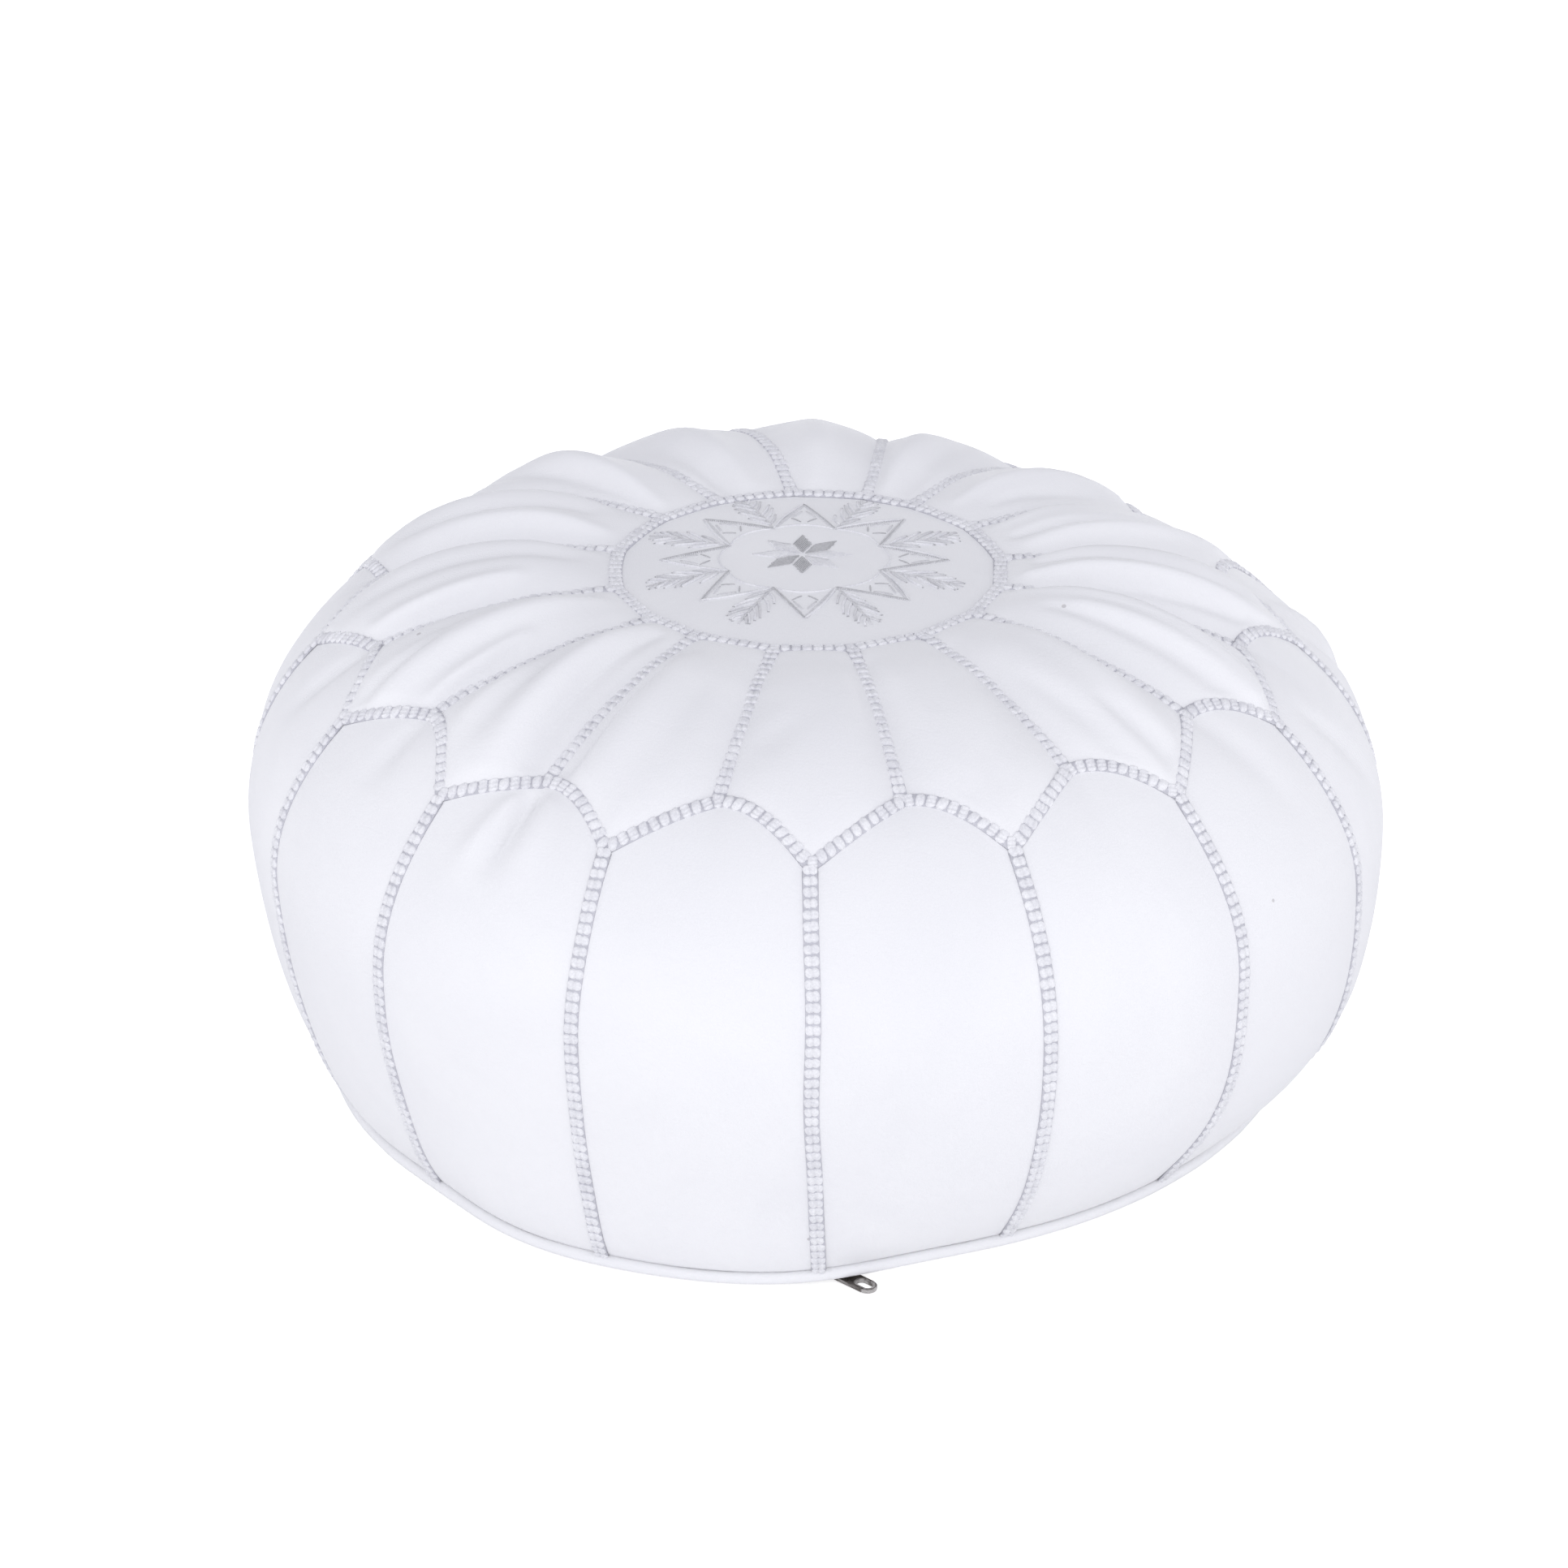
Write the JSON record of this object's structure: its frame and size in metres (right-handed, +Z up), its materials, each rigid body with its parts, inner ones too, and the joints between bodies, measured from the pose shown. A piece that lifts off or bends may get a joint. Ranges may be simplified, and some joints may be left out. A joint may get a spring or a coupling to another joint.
{
  "type": "leather pouf",
  "caption": "Round stuffed leather pouf: pointed top pieces around an embroidered centre disc, arched side pieces, thread braids over every seam, and a zip with a pull tab across the base.",
  "frame": {"origin": "on the floor, under the middle of the round body", "axes": "+Z up; Y along the zip in the base, its closed end and the slider at the front, -Y; +X to the right seen from the front"},
  "size_m": [0.543, 0.543, 0.2515],
  "materials": {
    "white_leather": "soft satin",
    "silk_thread": "silky",
    "wadding": "matte",
    "zip_tape": "woven matte",
    "zip_metal": "dark polished"
  },
  "bodies": {
    "pouf": {"medallion": "white_leather", "medallion_embroidery": "silk_thread", "ring_braid": "silk_thread", "radial_braids": "silk_thread", "zigzag_braid": "silk_thread", "side_braids": "silk_thread", "base_panel_left": "white_leather", "base_panel_right": "white_leather", "base_welt": "white_leather", "filling": "wadding", "zip_tape_left": "zip_tape", "zip_tape_right": "zip_tape", "zip_teeth_left": "zip_metal", "zip_teeth_right": "zip_metal", "zip_top_stops": "zip_metal", "zip_bottom_stop": "zip_metal", "top_petal_01": "white_leather", "top_petal_02": "white_leather", "top_petal_03": "white_leather", "top_petal_04": "white_leather", "top_petal_05": "white_leather", "top_petal_06": "white_leather", "top_petal_07": "white_leather", "top_petal_08": "white_leather", "top_petal_09": "white_leather", "top_petal_10": "white_leather", "top_petal_11": "white_leather", "top_petal_12": "white_leather", "top_petal_13": "white_leather", "top_petal_14": "white_leather", "top_petal_15": "white_leather", "top_petal_16": "white_leather", "side_panel_01": "white_leather", "side_panel_02": "white_leather", "side_panel_03": "white_leather", "side_panel_04": "white_leather", "side_panel_05": "white_leather", "side_panel_06": "white_leather", "side_panel_07": "white_leather", "side_panel_08": "white_leather", "side_panel_09": "white_leather", "side_panel_10": "white_leather", "side_panel_11": "white_leather", "side_panel_12": "white_leather", "side_panel_13": "white_leather", "side_panel_14": "white_leather", "side_panel_15": "white_leather", "side_panel_16": "white_leather"},
    "slider": {"zip_slider": "zip_metal"},
    "pull_tab": {"zip_pull_tab": "zip_metal"}
  },
  "joints": [
    {"name": "zip_slide", "type": "slide", "parent": "pouf", "child": "slider", "axis": [0, 1, 0], "range_m": [0, 0.4], "deforming": ["zip_teeth_left", "zip_teeth_right"]},
    {"name": "pull_tab_flip", "type": "hinge", "parent": "slider", "child": "pull_tab", "pos_m": [0, -0.217, 0.0025], "axis": [0.6428, 0.766, 0], "range_deg": [0, 170]}
  ]
}
